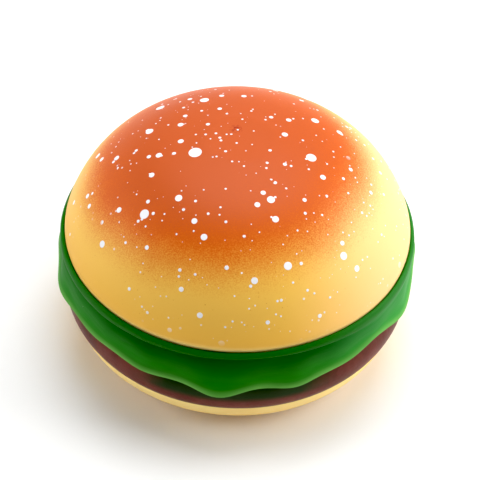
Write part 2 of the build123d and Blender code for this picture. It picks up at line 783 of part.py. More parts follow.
def mic_capsule():
    with BuildPart() as capsule:
        with BuildSketch(Plane.XY.offset(26.0).move(Location((*MIC_XY, 0)))):
            Circle(4.85)
        extrude(amount=6.5)
        fillet(capsule.edges().group_by(Axis.Z)[-1], 0.5)
    return capsule.part


SOCKET_HALF_WIDTH = 4.9
SOCKET_Z = (17.0, 23.4)
SOCKET_BACK_Y = 43.5


def line_jack():
    low_z, high_z = SOCKET_Z
    half = SOCKET_HALF_WIDTH
    with BuildPart() as jack:
        add(
            box_between(
                (-JACK_HALF_WIDTH, 40.5, JACK_FOOT_Z), (JACK_HALF_WIDTH, JACK_FACE_Y, JACK_TOP_Z)
            )
        )
        add(box_between((-JACK_HALF_WIDTH, 40.5, JACK_TOP_Z), (JACK_HALF_WIDTH, 45.5, PCB_FOOT_Z)))
        add(
            box_between((-half, SOCKET_BACK_Y, low_z), (half, JACK_FACE_Y + 1, high_z)),
            mode=Mode.SUBTRACT,
        )
        add(
            box_between((-3.2, SOCKET_BACK_Y + 3, low_z - 1.7), (3.2, JACK_FACE_Y + 1, low_z)),
            mode=Mode.SUBTRACT,
        )
    return jack.part


def line_jack_contacts():
    """Four spring wires under the roof of the socket."""
    with BuildPart() as contacts:
        for step in range(4):
            x = 1.02 * (step - 1.5)
            with BuildSketch(Plane(origin=(x, SOCKET_BACK_Y + 0.05, 22.9), z_dir=(0, 1, 0.0))):
                Circle(0.23)
            extrude(amount=8.5)
    return contacts.part


def switch_body():
    """Slide switch standing at the back; the caller turns it to its place."""
    with BuildPart() as body:
        add(box_between((-7, 43.4, SWITCH_Z - 3.4), (7, 48.0, SWITCH_Z + 3.4)))
        add(box_between((-8.8, 48.0, SWITCH_Z - 4.2), (8.8, PAD_INNER_Y, SWITCH_Z + 4.2)))
        add(
            box_between((-3.9, 44.8, SWITCH_Z - 2.2), (3.9, PAD_INNER_Y + 1, SWITCH_Z + 2.2)),
            mode=Mode.SUBTRACT,
        )
        for x in (-4.7, 0, 4.7):
            add(box_between((x - 0.6, 40.6, SWITCH_Z - 0.3), (x + 0.6, 43.4, SWITCH_Z + 0.3)))
    return body.part


def switch_slider():
    """Knob of a slide switch, at one end of its travel."""
    start = -SWITCH_TRAVEL / 2
    with BuildPart() as slider:
        add(box_between((start - 2.2, 45.2, SWITCH_Z - 1.9), (start + 2.2, 47.6, SWITCH_Z + 1.9)))
        add(box_between((start - 1.5, 47.0, SWITCH_Z - 1.6), (start + 1.5, 57.4, SWITCH_Z + 1.6)))
        for step in (-1, 0, 1):
            x = start + 0.9 * step
            add(
                box_between((x - 0.2, 57.0, SWITCH_Z - 2), (x + 0.2, 58, SWITCH_Z + 2)),
                mode=Mode.SUBTRACT,
            )
    return slider.part


def foot(x, y):
    with BuildPart() as pad:
        with BuildSketch(Plane.XY.move(Location((x, y, 0)))):
            Circle(FOOT_R)
        extrude(amount=UNDERSIDE_Z + FOOT_SINK)
        fillet(pad.edges().group_by(Axis.Z)[0], 0.5)
    return pad.part


# ---- build and write --------------------------------------------------------------------
save(bottom_bun(), "bottom_bun")
save(patty_ring(), "patty_ring")
save(lettuce_ring(), "lettuce_ring")
save(keypad_deck(), "keypad_deck")
save(top_bun(), "top_bun")
save(earpiece_plate(), "earpiece_plate")

for key_name, key_xy, key_half_axes in KEYS:
    save(key(key_xy, key_half_axes), f"key_{key_name}")

save(dome_mat(), "dome_mat")
save(main_pcb(), "main_pcb")
save(chip(23.4, 6.4, 9, (6, 2)), "dialler_chip")
save(chip(10.0, 6.4, 4, (-22, 4)), "ringer_chip")
save(capacitors(), "capacitors")
save(axial_parts(1.3, 4.6, [(-24, 16 + 4 * n) for n in range(4)]), "bridge_diodes")
save(
    axial_parts(0.9, 5.4, [(x, y) for x in (4, 16) for y in (-8, -11.5, -15, 13, 17)]),
    "resistors",
)

save(hook_switch_body(), "hook_switch_body")
save(hook_plunger(), "hook_plunger")
save(hook_spring(), "hook_spring")
save(mic_boot(), "mic_boot")
save(mic_capsule(), "mic_capsule")
save(line_jack(), "line_jack")
save(line_jack_contacts(), "line_jack_contacts")

for switch_name, turn in (("ringer", -SWITCH_TURN), ("dial_mode", SWITCH_TURN)):
    save(switch_body().rotate(Axis.Z, turn), f"{switch_name}_switch_body")
    save(switch_slider().rotate(Axis.Z, turn), f"{switch_name}_switch_slider")

save(ring(0, RINGER_WALL_R - 0.2, RINGER_SEAT_Z, RINGER_SEAT_Z + 0.5), "piezo_disc")
save(ring(11.5, RINGER_WALL_R, RINGER_SEAT_Z + 0.5, RINGER_SEAT_Z + 2.5), "ringer_cap")

for side_name, foot_x in FEET.items():
    save(foot(foot_x, -FOOT_Y), f"foot_front_{side_name}")
    save(foot(foot_x, FOOT_Y), f"foot_rear_{side_name}")

save(panhead_screw(SCREW_R, 1.8, 20, CASE_SCREWS, SCREW_SEAT_Z), "case_screws")
save(panhead_screw(SMALL_SCREW_R, 1.2, 5.8, PCB_SCREWS, PCB_FOOT_Z), "pcb_screws")
save(panhead_screw(SCREW_R, 1.3, 12, LID_SCREWS, PLATE_FOOT_Z + 1.4), "lid_screws")
save(
    panhead_screw(SMALL_SCREW_R, 1.2, 6, CLAMP_SCREWS, RECEIVER_TOP_Z + 1.2, upwards=False),
    "receiver_screws",
)

save(ring(15.4, RECEIVER_R, PLATE_TOP_Z, RECEIVER_FOOT_Z), "receiver_gasket")
save(receiver_frame(), "receiver_frame")
save(receiver_diaphragm(), "receiver_diaphragm")
save(receiver_magnet(), "receiver_magnet")
save(receiver_clamp(), "receiver_clamp")

save(along_x(PIN_R, -BASE_KNUCKLE[1] + 0.2, -LID_KNUCKLE[0] - 1.2), "hinge_pin")
LEAD_MEET_X = 12.0  # the two leads are joined inside the hollow trunnion
save(
    wire(
        (
            (0, 14.0, RECEIVER_TOP_Z + 1.6),
            (0, 30.0, 50.5),
            (0, 46.0, 47.0),
            (0, 51.5, 41.8),
            (0, HINGE_Y, HINGE_Z),
            (LEAD_MEET_X - 0.1, HINGE_Y, HINGE_Z),
        ),
        (12, 6, 3, 2.6),
    ),
    "receiver_lead",
)
save(
    wire(
        (
            (LEAD_MEET_X, HINGE_Y, HINGE_Z),
            (LEAD_TURN_X, HINGE_Y, HINGE_Z),
            (LEAD_TURN_X, HINGE_Y, 31.4),
            (LEAD_TURN_X, 40.0, 31.4),
            (LEAD_TURN_X, 40.0, PCB_TOP_Z),
        ),
        (0.9, 2.2, 1.8),
    ),
    "hinge_lead",
)
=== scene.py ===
"""Looks for the burger telephone: a clamshell whose lid is the top bun and whose base is the
lettuce, the patty and the bottom bun.  Metres, +Z up, front towards -Y, hinge at the back."""

import json
import math

import bpy
from mathutils import Matrix, Vector


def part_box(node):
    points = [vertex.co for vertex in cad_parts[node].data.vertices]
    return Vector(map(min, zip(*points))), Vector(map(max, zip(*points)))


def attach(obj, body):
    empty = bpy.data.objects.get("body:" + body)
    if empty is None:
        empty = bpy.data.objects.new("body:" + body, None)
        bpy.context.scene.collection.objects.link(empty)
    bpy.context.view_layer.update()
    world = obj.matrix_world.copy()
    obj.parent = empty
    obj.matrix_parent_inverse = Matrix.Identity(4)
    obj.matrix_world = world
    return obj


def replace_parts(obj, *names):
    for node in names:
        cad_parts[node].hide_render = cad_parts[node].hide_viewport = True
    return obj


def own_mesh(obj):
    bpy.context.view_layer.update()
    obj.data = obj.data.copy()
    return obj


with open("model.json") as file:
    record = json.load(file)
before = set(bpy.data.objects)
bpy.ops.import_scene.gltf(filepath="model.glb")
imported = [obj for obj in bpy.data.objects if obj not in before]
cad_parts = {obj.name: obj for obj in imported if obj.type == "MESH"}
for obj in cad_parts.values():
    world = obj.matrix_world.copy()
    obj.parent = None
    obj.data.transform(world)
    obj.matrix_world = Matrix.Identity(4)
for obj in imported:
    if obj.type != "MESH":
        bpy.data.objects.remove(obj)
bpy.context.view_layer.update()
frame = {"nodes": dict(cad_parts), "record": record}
MM = 0.001

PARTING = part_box("top_bun")[0].z  # where the lid meets the base


# ---- camera, walls and light ------------------------------------------------------------

CAMERA_RISE = 43.8  # degrees above the horizon
CAMERA_AWAY = 448 * MM
CAMERA_ROLL = 2.0  # degrees
AIM_RIGHT, AIM_UP = 0.9 * MM, -4.8 * MM  # in the picture, from the middle of the parting line
FOCAL_LENGTH, SENSOR_WIDTH = 104.8, 36  # mm

# Soft lamps: where each stands, its width and height, all in metres, its watts and its colour.
LAMPS = {
    "window_right": ((0.90, 0.12, 0.50), 0.8, 0.6, 10.0, (1.0, 0.99, 0.97)),
    "softbox_top": ((0.05, 0.40, 1.10), 0.9, 0.8, 13.0, (1.0, 1.0, 1.0)),
    "fill_left": ((-0.95, 0.05, 0.45), 0.6, 0.5, 4.2, (1.0, 1.0, 1.0)),
}
LAMPS_AIM = (0, 0, 40 * MM)

# Where the walls start to fade and where the ceiling starts, as the sine of the angle up.
WALL_TOP, CEILING_FOOT = 0.16, 0.42
WALL_LIGHT, CEILING_LIGHT = 0.80, 0.13
BLACK_POINT = 0.014  # the level that is shown as black


def aim(place, target, roll_degrees=0.0):
    """Matrix that stands at place and looks at target, as a camera or a lamp does."""
    back = (Vector(place) - Vector(target)).normalized()
    right = Vector((0, 0, 1)).cross(back).normalized()
    up = back.cross(right)
    roll = Matrix.Rotation(math.radians(roll_degrees), 3, "Z")
    turn = Matrix((right, up, back)).transposed() @ roll
    return Matrix.Translation(place) @ turn.to_4x4()


def set_camera():
    rise = math.radians(CAMERA_RISE)
    back = Vector((0, -math.cos(rise), math.sin(rise)))
    up = Vector((0, math.sin(rise), math.cos(rise)))
    target = Vector((AIM_RIGHT, 0, PARTING)) + AIM_UP * up
    camera = bpy.data.cameras.new("camera")
    camera.lens = FOCAL_LENGTH
    camera.sensor_width = SENSOR_WIDTH
    camera.clip_start = 10 * MM
    tripod = bpy.data.objects.new("camera", camera)
    tripod.matrix_world = aim(target + CAMERA_AWAY * back, target, CAMERA_ROLL)
    bpy.context.scene.collection.objects.link(tripod)
    bpy.context.scene.camera = tripod


def lamp(name, place, width, height, watts, colour):
    light = bpy.data.lights.new(name, "AREA")
    light.shape = "RECTANGLE"
    light.size = width
    light.size_y = height
    light.energy = watts
    light.color = colour
    stand = bpy.data.objects.new(name, light)
    stand.matrix_world = aim(place, LAMPS_AIM)
    bpy.context.scene.collection.objects.link(stand)


def studio_walls():
    """Pale walls all round, up to some way above the horizon, and a dim ceiling."""
    world = bpy.data.worlds.new("studio")
    world.use_nodes = True
    nodes, links = world.node_tree.nodes, world.node_tree.links
    direction = nodes.new("ShaderNodeTexCoord")
    split = nodes.new("ShaderNodeSeparateXYZ")
    links.new(direction.outputs["Generated"], split.inputs[0])
    fade = nodes.new("ShaderNodeMapRange")
    fade.interpolation_type = "SMOOTHSTEP"
    fade.inputs["From Min"].default_value = WALL_TOP
    fade.inputs["From Max"].default_value = CEILING_FOOT
    fade.inputs["To Min"].default_value = WALL_LIGHT
    fade.inputs["To Max"].default_value = CEILING_LIGHT
    links.new(split.outputs[2], fade.inputs["Value"])
    glow = nodes["Background"]
    glow.inputs["Color"].default_value = (0.97, 0.98, 1.0, 1)
    links.new(fade.outputs[0], glow.inputs["Strength"])
    bpy.context.scene.world = world


def display_curve():
    """A plain display curve with its black point raised a little: dark colours stay deep."""
    display = bpy.context.scene.view_settings
    display.view_transform = "Standard"
    display.use_curve_mapping = True
    display.curve_mapping.black_level = (BLACK_POINT, BLACK_POINT, BLACK_POINT)
    display.curve_mapping.update()


set_camera()
for lamp_name, settings in LAMPS.items():
    lamp(lamp_name, *settings)
studio_walls()
display_curve()


# ---- shader arithmetic ------------------------------------------------------------------


def tint(red, green, blue):
    """A display colour, 0 to 255 a channel, as the linear colour that shaders work in."""
    out = []
    for channel in (red, green, blue):
        c = channel / 255
        out.append(c / 12.92 if c <= 0.04045 else ((c + 0.055) / 1.055) ** 2.4)
    return (*out, 1.0)


class Level:
    """One shader value, so that sums on it are written as plain arithmetic."""

    def __init__(self, paint, socket):
        self.paint = paint
        self.socket = socket

    def apply(self, operation, *others):
        inputs = {n: other for n, other in enumerate((self, *others))}
        return self.paint.node("ShaderNodeMath", {"operation": operation}, inputs)[0]

    def __add__(self, other):
        return self.apply("ADD", other)

    def __sub__(self, other):
        return self.apply("SUBTRACT", other)

    def __mul__(self, other):
        return self.apply("MULTIPLY", other)

    def __pow__(self, other):
        return self.apply("POWER", other)

    def __rsub__(self, other):
        return (self * -1.0) + other

    __radd__ = __add__
    __rmul__ = __mul__

    def above(self, other):
        return self.apply("GREATER_THAN", other)

    def most(self, other):
        return self.apply("MAXIMUM", other)

    def size(self):
        return self.apply("ABSOLUTE")

    def wave(self):
        return self.apply("SINE")

    def ramp(self, low, high):
        """0 below low and 1 above high, with a smooth rise between them."""
        inputs = {"Value": self, "From Min": low, "From Max": high}
        settings = {"interpolation_type": "SMOOTHSTEP"}
        return self.paint.node("ShaderNodeMapRange", settings, inputs)[0]


class Paint:
    """A material under construction."""

    def __init__(self, name):
        self.material = bpy.data.materials.new(name)
        self.material.use_nodes = True
        self.tree = self.material.node_tree
        self.surface = self.tree.nodes["Principled BSDF"]
        self.place = self.node("ShaderNodeTexCoord", {}, {})["Object"]
        parts = self.node("ShaderNodeSeparateXYZ", {}, {0: self.place})
        self.x, self.y, self.z = parts[0], parts[1], parts[2]

    def node(self, kind, settings, inputs):
        """Adds one node, makes its settings, then sets or links its inputs."""
        made = self.tree.nodes.new(kind)
        for name, value in settings.items():
            setattr(made, name, value)
        for name, value in inputs.items():
            if isinstance(value, Level):
                self.tree.links.new(value.socket, made.inputs[name])
            else:
                made.inputs[name].default_value = value
        return Outputs(self, made)

    def noise(self, scale, detail=3.0, rough=0.55, stretch=None):
        """A cloudy level about 0.5.  A stretch above 1 packs the clouds closer on its axis."""
        at = self.place
        if stretch:
            at = self.node("ShaderNodeMapping", {}, {"Vector": at, "Scale": stretch})[0]
        inputs = {"Vector": at, "Scale": scale, "Detail": detail, "Roughness": rough}
        return self.node("ShaderNodeTexNoise", {}, inputs)[0]

    def mix(self, share, first, second):
        """The first colour where share is 0 and the second where it is 1."""
        inputs = {0: share, 6: first, 7: second}
        return self.node("ShaderNodeMix", {"data_type": "RGBA"}, inputs)[2]

    def bump(self, height, depth):
        """Relief whose height of 1 stands as far out as depth."""
        inputs = {"Height": height, "Distance": depth, "Strength": 1.0}
        self.link("Normal", self.node("ShaderNodeBump", {}, inputs)[0])

    def link(self, name, value):
        if isinstance(value, Level):
            self.tree.links.new(value.socket, self.surface.inputs[name])
        else:
            self.surface.inputs[name].default_value = value

    def finish(self, **sockets):
        for name, value in sockets.items():
            self.link(name.replace("_", " "), value)
        return self.material


class Outputs:
    """The outputs of one node, each found by its number or its name."""

    def __init__(self, paint, made):
        self.paint = paint
        self.made = made

    def __getitem__(self, which):
        return Level(self.paint, self.made.outputs[which])


# ---- materials --------------------------------------------------------------------------

FLECK_EDGE = 0.1 * MM  # width of the soft edge of a fleck


def spatter(paint, cells_per_metre, share, widest, seed_shift):
    """Round flecks of thrown paint: 1 inside a fleck, 0 outside.  share is how many of the
    cells hold one, widest is the largest radius as a part of a cell, and seed_shift moves the
    pattern, so that two of them differ."""
    shift = (seed_shift, 0.7 * seed_shift, 0)
    moved = paint.node("ShaderNodeMapping", {}, {"Vector": paint.place, "Location": shift})[0]
    cells = paint.node("ShaderNodeTexVoronoi", {}, {"Vector": moved, "Scale": cells_per_metre})
    chance = paint.node("ShaderNodeSeparateColor", {}, {0: cells["Color"]})
    held = chance[0].above(1.0 - share)
    radius = (chance[1] ** 2.0 * 0.8 + 0.2) * widest
    edge = FLECK_EDGE * cells_per_metre
    return held * (radius - cells["Distance"]).ramp(-0.5 * edge, 0.5 * edge)


# The widest drops of thrown glaze, one by one: where each lies on the bun and its radius, in mm.
GLAZE_DROPS = (
    (-13.5, -6.0, 73.5, 2.0),
    (-27.5, -25.5, 65.5, 1.5),
    (21.5, -5.0, 72.0, 1.6),
    (15.0, -40.5, 61.0, 1.2),
    (31.5, -33.0, 58.5, 1.2),
    (9.5, -23.5, 71.0, 1.2),
    (11.0, -29.5, 69.0, 1.0),
    (5.5, -45.0, 59.0, 1.0),
    (-9.5, -35.0, 66.0, 1.0),
    (-17.5, -23.0, 70.0, 1.1),
    (23.0, 14.5, 70.5, 1.3),
    (-12.5, -30.5, 68.0, 0.9),
    (-40.0, -27.5, 54.5, 1.1),
    (-24.5, -5.5, 71.5, 1.0),
    (-15.5, -45.5, 55.0, 0.8),
    (25.0, -12.0, 70.5, 0.9),
)
SCUFF = (-1.5, 5.0, 74.0)  # a small scuff in the paint on top of the bun, in mm


def near_point(paint, place, reach, softness):
    """1 within reach of a place, both in mm, and 0 outside."""
    ends = {0: paint.place, 1: [MM * part for part in place]}
    away = paint.node("ShaderNodeVectorMath", {"operation": "DISTANCE"}, ends)["Value"]
    return (reach * MM - away).ramp(-softness * MM, softness * MM)


def bun_crust():
    """Air-brushed bun: pale dough with painted light on its right-hand side and its lower edge,
    an orange then red cap that reaches lower on the left, a band of overspray under the cap, and
    white glaze thrown on the top."""
    paint = Paint("bun_crust")
    above = paint.z - PARTING
    cloud = paint.noise(38.0, 3.0)
    mist = paint.noise(2600.0, 1.0, 0.4)
    baked = above - 0.09 * paint.x + (cloud - 0.5) * (5 * MM) + (mist - 0.5) * (8 * MM)

    dough = paint.mix(above.ramp(-1 * MM, 16 * MM), tint(234, 178, 68), tint(238, 188, 84))
    # painted light: the right-hand side of the dough paler, where the window lamp falls
    dough = paint.mix(paint.x.ramp(12 * MM, 54 * MM) * 0.75, dough, tint(250, 206, 150))
    # painted light along the bun's lower edge, lifting the shade where it tucks in above the
    # leaf
    painted_light_rim = 1.0 - above.ramp(0.4 * MM, 3 * MM)
    dough = paint.mix(painted_light_rim, dough, tint(255, 222, 140))
    colour = paint.mix(baked.ramp(15 * MM, 29 * MM), dough, tint(206, 92, 12))
    colour = paint.mix(baked.ramp(24 * MM, 34.5 * MM), colour, tint(190, 84, 34))

    droplets = spatter(paint, 1300.0, 0.12, 0.24, 3.1)
    under_cap = baked.ramp(1 * MM, 18 * MM) * (1.0 - baked.ramp(26 * MM, 31 * MM))
    colour = paint.mix(droplets * under_cap * 0.6, colour, tint(190, 100, 20))

    # the glaze lies thicker on the right-hand side and towards the top
    thick = (paint.noise(30.0, 2.0) + paint.x * 3.2 + above * 9.0).ramp(0.40, 0.66)
    large = spatter(paint, 140.0, 0.62, 0.25, 0.11) * paint.y.ramp(-2 * MM, 4 * MM)
    medium = spatter(paint, 240.0, 0.90, 0.25, 0.53) * thick.ramp(0.04, 0.20)
    small = spatter(paint, 480.0, 0.85, 0.22, 0.91) * thick
    flecks = large.most(medium).most(small) * above.ramp(2 * MM, 10 * MM)
    for *place, radius in GLAZE_DROPS:
        flecks = flecks.most(near_point(paint, place, radius, 0.05))

    scuff = near_point(paint, SCUFF, 1.6, 0.9) * paint.noise(1500.0, 2.0, 0.7).ramp(0.47, 0.54)
    colour = paint.mix(scuff * 0.85, colour, tint(150, 36, 2))
    colour = paint.mix(flecks, colour, tint(236, 236, 240))
    grain = paint.noise(1300.0, 2.0, 0.5)
    paint.bump(flecks * 0.9 + grain * 0.10 + cloud * 0.4, 0.09 * MM)
    rough = 0.48 + (grain - 0.5) * 0.10 - flecks * 0.06
    return paint.finish(
        Base_Color=colour, Roughness=rough, Specular_IOR_Level=0.16, Sheen_Weight=0.06
    )


def bottom_crust():
    """The bottom bun: yellow, a little darker towards the floor, with baked clouds."""
    paint = Paint("bun_base")
    cloud = paint.noise(45.0, 3.0)
    colour = paint.mix(paint.z.ramp(2 * MM, 12 * MM), tint(255, 206, 112), tint(255, 226, 146))
    colour = paint.mix(cloud.ramp(0.45, 0.75) * 0.35, colour, tint(240, 184, 92))
    grain = paint.noise(1300.0, 2.0, 0.5)
    paint.bump(grain * 0.12 + cloud * 0.4, 0.08 * MM)
    rough = 0.44 + (grain - 0.5) * 0.10
    return paint.finish(Base_Color=colour, Roughness=rough, Specular_IOR_Level=0.2)


def lettuce_green():
    """Soft moulded leaf: deep green, with a painted highlight along the lip's edge and painted
    light on both flanks.
    """
    paint = Paint("lettuce_green")
    cloud = paint.noise(60.0, 3.0)
    streak = paint.noise(90.0, 3.0, 0.5, (1.0, 1.0, 5.0))
    painted_lip_highlight = paint.node("ShaderNodeAttribute", {"attribute_name": "painted_light_rim"}, {})["Fac"]
    roll = paint.z.ramp(35.6 * MM, 37.2 * MM)
    lip = 1.0 - (paint.z + (cloud - 0.5) * (4 * MM)).ramp(27.5 * MM, 34.5 * MM)
    # painted light: both flanks lighter, where the side lamps fall on them
    painted_light_right = paint.x.ramp(20 * MM, 56 * MM)
    painted_light_left = (paint.x * -1.0).ramp(26 * MM, 52 * MM)
    colour = paint.mix(cloud, tint(2, 74, 0), tint(12, 92, 2))
    colour = paint.mix(lip * (0.35 + 0.5 * streak), colour, tint(34, 132, 14))
    colour = paint.mix(painted_light_right * 0.6, colour, tint(56, 156, 66))
    colour = paint.mix(painted_light_left * 0.6, colour, tint(20, 122, 6))
    # painted highlight along the lip's edge, where the top lamp catches it
    colour = paint.mix(painted_lip_highlight * (0.35 + 0.5 * streak), colour, tint(124, 186, 92))
    colour = paint.mix(roll * 0.6, colour, tint(24, 98, 6))
    flecks = spatter(paint, 300.0, 0.05, 0.09, 0.37)
    colour = paint.mix(flecks * 0.8, colour, tint(205, 215, 205))
    grain = paint.noise(1500.0, 2.0, 0.5)
    paint.bump(streak * 1.2 + grain * 0.12, 0.15 * MM)
    rough = 0.50 + (cloud - 0.5) * 0.14
    return paint.finish(Base_Color=colour, Roughness=rough, Specular_IOR_Level=0.10)


def patty_brown():
    """Coarse brown ring, with green overspray from the leaf round the top of its front, painted
    dark there as the shade under the leaf's lip.
    """
    paint = Paint("patty_brown")
    cloud = paint.noise(110.0, 4.0, 0.6)
    grain = paint.noise(900.0, 3.0, 0.6)
    colour = paint.mix(cloud.ramp(0.35, 0.7), tint(92, 38, 30), tint(112, 52, 44))
    # green overspray from the leaf, its dark tone painted shade under the leaf's overhanging lip
    high = (paint.z + (cloud - 0.5) * (2 * MM)).ramp(16.8 * MM, 19.6 * MM)
    front = 1.0 - (paint.x.size() + (cloud - 0.5) * (10 * MM)).ramp(20 * MM, 34 * MM)
    front = front * (1.0 - paint.y.ramp(-30 * MM, -10 * MM))
    colour = paint.mix(high * (front * 0.85 + 0.07), colour, tint(4, 46, 2))
    paint.bump(cloud + grain * 0.3, 0.22 * MM)
    rough = 0.42 + (grain - 0.5) * 0.12
    return paint.finish(Base_Color=colour, Roughness=rough, Specular_IOR_Level=0.16)


def moulded(name, colour, roughness, grain_depth=0.03, wear=0.03):
    """Moulded plastic or rubber: fine spark-eroded grain, its depth in mm, faint flow marks
    and a sheen that handling made uneven."""
    paint = Paint(name)
    grain = paint.noise(2400.0, 2.0, 0.5)
    flow = paint.noise(35.0, 3.0, 0.6, (1.0, 1.0, 2.5))
    darker = tuple(0.80 * c for c in colour[:3]) + (1.0,)
    shade = paint.mix(flow.ramp(0.35, 0.75) * (4.0 * wear), colour, darker)
    paint.bump(grain, grain_depth * MM)
    rough = roughness + (flow - 0.5) * 3.0 * wear + (grain - 0.5) * 0.05
    return paint.finish(Base_Color=shade, Roughness=rough, Specular_IOR_Level=0.3)


def metal(name, colour, roughness, stretch, wear=0.06):
    """Drawn, stamped or plated metal, with fine marks that stretch packs closer on an axis."""
    paint = Paint(name)
    lines = paint.noise(700.0, 3.0, 0.6, stretch)
    stain = paint.noise(160.0, 3.0, 0.6)
    darker = tuple(0.72 * c for c in colour[:3]) + (1.0,)
    shade = paint.mix(stain.ramp(0.45, 0.8) * (6.0 * wear), colour, darker)
    paint.bump(lines, 0.02 * MM)
    rough = roughness + (lines - 0.5) * 0.14 + (stain - 0.5) * wear
    return paint.finish(Base_Color=shade, Roughness=rough, Metallic=1.0)


def board_green():
    """Lacquered circuit board: copper tracks under green resist, with bare round pads."""
    paint = Paint("board_green")
    wander = paint.noise(55.0, 2.0)
    across = (paint.x * 1700.0 + wander * 9.0).wave().size()
    along = (paint.y * 1500.0 + wander * 11.0).wave().size()
    block = paint.node("ShaderNodeTexVoronoi", {}, {"Vector": paint.place, "Scale": 95.0})
    chance = paint.node("ShaderNodeSeparateColor", {}, {0: block["Color"]})
    runs_across = chance[0].above(0.5)
    track = (across * runs_across + along * (1.0 - runs_across)).ramp(0.72, 0.80)
    pads = spatter(paint, 330.0, 0.45, 0.26, 0.2)
    colour = paint.mix(track, tint(10, 62, 26), tint(26, 104, 48))
    colour = paint.mix(pads, colour, tint(196, 190, 178))
    paint.bump(track * 0.6 + pads, 0.06 * MM)
    return paint.finish(Base_Color=colour, Roughness=0.36 - pads * 0.06, Metallic=pads * 0.9)


RESISTOR_COLUMNS = (4.0, 16.0)  # the middles of their bodies along X, in mm
# Each painted band's place along its body, in mm, and its colour.
RESISTOR_BANDS = {
    -1.7: tint(120, 60, 30),
    -0.7: tint(30, 30, 32),
    0.3: tint(170, 40, 30),
    1.8: tint(190, 150, 60),
}


def banded_resistors():
    """Small round bodies lying along X in two columns, each with four painted bands."""
    paint = Paint("resistor_body")
    colour = tint(206, 178, 132)
    for column in RESISTOR_COLUMNS:
        for along, stripe in RESISTOR_BANDS.items():
            away = (paint.x - (column + along) * MM).size()
            colour = paint.mix(1.0 - away.ramp(0.18 * MM, 0.24 * MM), colour, stripe)
    grain = paint.noise(900.0, 2.0)
    paint.bump(grain, 0.04 * MM)
    return paint.finish(Base_Color=colour, Roughness=0.4 + (grain - 0.5) * 0.2)


finishes = {
    "bun_crust": bun_crust(),
    "bun_base": bottom_crust(),
    "lettuce_green": lettuce_green(),
    "patty_brown": patty_brown(),
    "panel_cream": moulded("panel_cream", tint(214, 172, 104), 0.46, 0.04, 0.05),
    "key_white": moulded("key_white", tint(212, 208, 196), 0.30, 0.01),
    "key_small": moulded("key_small", tint(158, 26, 16), 0.34, 0.01),
    "black_plastic": moulded("black_plastic", tint(34, 34, 36), 0.42),
    "foot_rubber": moulded("foot_rubber", tint(40, 40, 42), 0.72, 0.08, 0.06),
    "mat_rubber": moulded("mat_rubber", tint(150, 152, 156), 0.62, 0.04, 0.05),
    "gasket_foam": moulded("gasket_foam", tint(52, 52, 54), 0.88, 0.20, 0.08),
    "lead_sheath": moulded("lead_sheath", tint(46, 46, 48), 0.40, 0.04),
    "capacitor_sleeve": moulded("capacitor_sleeve", tint(26, 40, 104), 0.30, 0.03),
    "diaphragm_film": moulded("diaphragm_film", tint(96, 98, 102), 0.30, 0.05, 0.05),
    "legend_ink": moulded("legend_ink", tint(20, 20, 22), 0.5, 0.01),
    "screw_steel": metal("screw_steel", tint(186, 188, 192), 0.30, (1.0, 1.0, 1.0)),
    "pin_steel": metal("pin_steel", tint(190, 190, 194), 0.20, (1.0, 6.0, 6.0)),
    "spring_steel": metal("spring_steel", tint(196, 196, 202), 0.24, (1.0, 1.0, 6.0)),
    "contact_brass": metal("contact_brass", tint(214, 178, 100), 0.26, (1.0, 6.0, 1.0)),
    "magnet_steel": metal("magnet_steel", tint(158, 160, 164), 0.34, (1.0, 1.0, 4.0)),
    "capsule_alu": metal("capsule_alu", tint(192, 194, 198), 0.32, (1.0, 1.0, 4.0)),
    "board_green": board_green(),
    "resistor_body": banded_resistors(),
}

# every piece of the frame wears the finish of its own slot
for row in frame["record"]["subparts"]:
    skin = frame["nodes"][row["node"]].data
    skin.materials.clear()
    skin.materials.append(finishes[row["material_slot"]])


# ---- modelling helpers ------------------------------------------------------------------


def clear_selection():
    bpy.ops.object.select_all(action="DESELECT")


def settle(name, body, slot, smooth=35.0, finish=None):
    """Names the active piece, puts its place into its mesh and hangs it on its body.  It wears
    the finish of its slot, unless another finish is named."""
    piece = bpy.context.view_layer.objects.active
    piece.name = name
    piece.data.name = name
    clear_selection()
    piece.select_set(True)
    bpy.ops.object.transform_apply(location=True, rotation=True, scale=True)
    bpy.ops.object.shade_smooth_by_angle(angle=math.radians(smooth))
    piece.data.materials.clear()
    piece.data.materials.append(finishes[finish or slot])
    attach(piece, body)
    return piece


def turned(profile, steps):
    """Draws a profile, a list of radius and height, point by point and spins it round Z."""
    clear_selection()
    bpy.ops.mesh.primitive_plane_add(size=MM, location=(0, 0, 0))
    bpy.ops.object.mode_set(mode="EDIT")
    bpy.ops.mesh.select_all(action="SELECT")
    bpy.ops.mesh.merge(type="CENTER")
    bpy.ops.transform.translate(value=(profile[0][0], 0, profile[0][1]))
    for (r0, z0), (r1, z1) in zip(profile, profile[1:]):
        move = {"value": (r1 - r0, 0, z1 - z0)}
        bpy.ops.mesh.extrude_vertices_move(TRANSFORM_OT_translate=move)
    bpy.ops.mesh.select_all(action="SELECT")
    bpy.ops.mesh.spin(steps=steps, angle=2 * math.pi, center=(0, 0, 0), axis=(0, 0, 1))
    bpy.ops.mesh.select_all(action="SELECT")
    bpy.ops.mesh.remove_doubles(threshold=MM / 1000)
    bpy.ops.mesh.normals_make_consistent(inside=False)
    bpy.ops.object.mode_set(mode="OBJECT")
    return bpy.context.view_layer.objects.active


def key_top(name):
    """The middle of a key's top."""
    low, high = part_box(f"key_{name}")
    return (low.x + high.x) / 2, (low.y + high.y) / 2, high.z


# ---- lettuce ----------------------------------------------------------------------------

